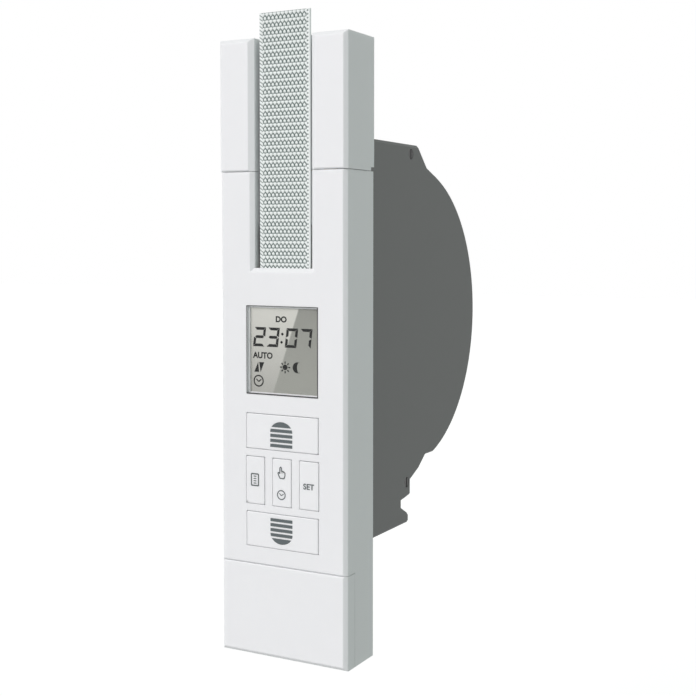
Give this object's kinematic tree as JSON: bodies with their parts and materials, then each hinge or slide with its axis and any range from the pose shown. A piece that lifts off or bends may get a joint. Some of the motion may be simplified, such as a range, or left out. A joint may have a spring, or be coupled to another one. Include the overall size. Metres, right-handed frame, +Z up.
{
  "type": "electric belt winder",
  "caption": "Wall-sunk electric winder for a roller shutter belt: slim white front with display, push buttons and belt channel, drum-shaped gear and spool body behind",
  "frame": {"origin": "on the wall plane, midway between the two wall screws", "axes": "+Z up along the belt, +X to the right seen from the room, +Y into the wall"},
  "size_m": [0.0578, 0.1453, 0.2524],
  "materials": {
    "housing_white": "white moulded plastic, satin",
    "button_white": "white moulded plastic, satin",
    "frame_white": "white glass-filled plastic, matt",
    "shell_grey": "dark grey moulded plastic, matt",
    "window_clear": "clear polished plastic",
    "lcd_grey": "grey liquid crystal cell",
    "spool_black": "black moulded plastic",
    "gear_natural": "unpigmented acetal",
    "board_green": "green solder mask over glass fibre",
    "component_black": "moulded component bodies",
    "terminal_grey": "grey terminal plastic",
    "belt_weave": "white and grey-green woven webbing",
    "steel_bright": "turned or rolled steel",
    "steel_zinc": "zinc plated steel",
    "brass_worm": "machined brass",
    "bronze_bush": "sintered bronze",
    "magnet_grey": "sintered magnet",
    "core_iron": "stacked transformer iron",
    "coil_tape": "coil under yellow tape"
  },
  "bodies": {
    "root": {"mounting_frame": "frame_white", "left_shell": "shell_grey", "right_shell": "shell_grey", "front_panel": "housing_white", "display_window": "window_clear", "lcd_module": "lcd_grey", "lcd_frame": "component_black", "control_board": "board_green", "board_components": "component_black", "board_screws": "steel_zinc", "key_switches": "component_black", "belt": "belt_weave", "spool_axle": "steel_bright", "idler_pin": "steel_bright", "shaft_bushes": "bronze_bush", "pulse_sensor": "component_black", "motor": "steel_zinc", "motor_bracket": "steel_zinc", "motor_screws": "steel_zinc", "roller_pin": "steel_bright", "roller_clip": "steel_bright", "frame_screws": "steel_zinc", "panel_screws": "steel_zinc", "shell_screws": "steel_zinc", "power_board": "board_green", "transformer_core": "core_iron", "transformer_coil": "coil_tape", "terminal_block": "terminal_grey", "terminal_screws": "steel_zinc"},
    "spool": {"belt_spool": "spool_black", "drive_gear": "gear_natural", "gear_screws": "steel_zinc", "spool_bushes": "bronze_bush", "belt_winding": "belt_weave"},
    "idler": {"idler_gear": "gear_natural"},
    "output": {"drive_shaft": "steel_bright", "pinion": "gear_natural", "worm_wheel": "gear_natural"},
    "rotor": {"worm": "brass_worm", "motor_shaft": "steel_bright", "pulse_magnet": "magnet_grey"},
    "roller": {"deflection_roller": "gear_natural"},
    "top_cover": {"top_cover": "housing_white"},
    "bottom_cover": {"bottom_cover": "housing_white"},
    "up_button": {"up_button": "button_white"},
    "down_button": {"down_button": "button_white"},
    "menu_button": {"menu_button": "button_white"},
    "mode_button": {"mode_button": "button_white"},
    "set_button": {"set_button": "button_white"}
  },
  "joints": [
    {"name": "worm_turn", "type": "hinge", "parent": "root", "child": "rotor", "pos_m": [-0.002, 0, -0.0655], "axis": [0, 1, 0], "continuous": true},
    {"name": "output_turn", "type": "hinge", "parent": "root", "child": "output", "pos_m": [0, -0.002, -0.0513], "axis": [1, 0, 0], "continuous": true},
    {"name": "idler_turn", "type": "hinge", "parent": "root", "child": "idler", "pos_m": [0, 0.01451, -0.04726], "axis": [1, 0, 0], "continuous": true},
    {"name": "spool_turn", "type": "hinge", "parent": "root", "child": "spool", "pos_m": [0, 0.0545, 0.0065], "axis": [1, 0, 0], "continuous": true},
    {"name": "roller_turn", "type": "hinge", "parent": "root", "child": "roller", "pos_m": [0, -0.0124, 0.028], "axis": [1, 0, 0], "continuous": true},
    {"name": "top_cover_slide", "type": "slide", "parent": "root", "child": "top_cover", "axis": [0, 0, 1], "range_m": [0, 0.055]},
    {"name": "bottom_cover_pull", "type": "slide", "parent": "root", "child": "bottom_cover", "axis": [0, -1, 0], "range_m": [0, 0.015]},
    {"name": "up_press", "type": "slide", "parent": "root", "child": "up_button", "axis": [0, 1, 0], "range_m": [0, 0.0008], "stiffness_N_per_m": 400},
    {"name": "down_press", "type": "slide", "parent": "root", "child": "down_button", "axis": [0, 1, 0], "range_m": [0, 0.0008], "stiffness_N_per_m": 400},
    {"name": "menu_press", "type": "slide", "parent": "root", "child": "menu_button", "axis": [0, 1, 0], "range_m": [0, 0.0008], "stiffness_N_per_m": 400},
    {"name": "mode_press", "type": "slide", "parent": "root", "child": "mode_button", "axis": [0, 1, 0], "range_m": [0, 0.0008], "stiffness_N_per_m": 400},
    {"name": "set_press", "type": "slide", "parent": "root", "child": "set_button", "axis": [0, 1, 0], "range_m": [0, 0.0008], "stiffness_N_per_m": 400}
  ],
  "couplings": [
    {"joint": "worm_turn", "follows": "spool_turn", "ratio": -195.43},
    {"joint": "output_turn", "follows": "spool_turn", "ratio": 8.1429},
    {"joint": "idler_turn", "follows": "spool_turn", "ratio": -5.7},
    {"joint": "roller_turn", "follows": "spool_turn", "ratio": -5.8939}
  ]
}
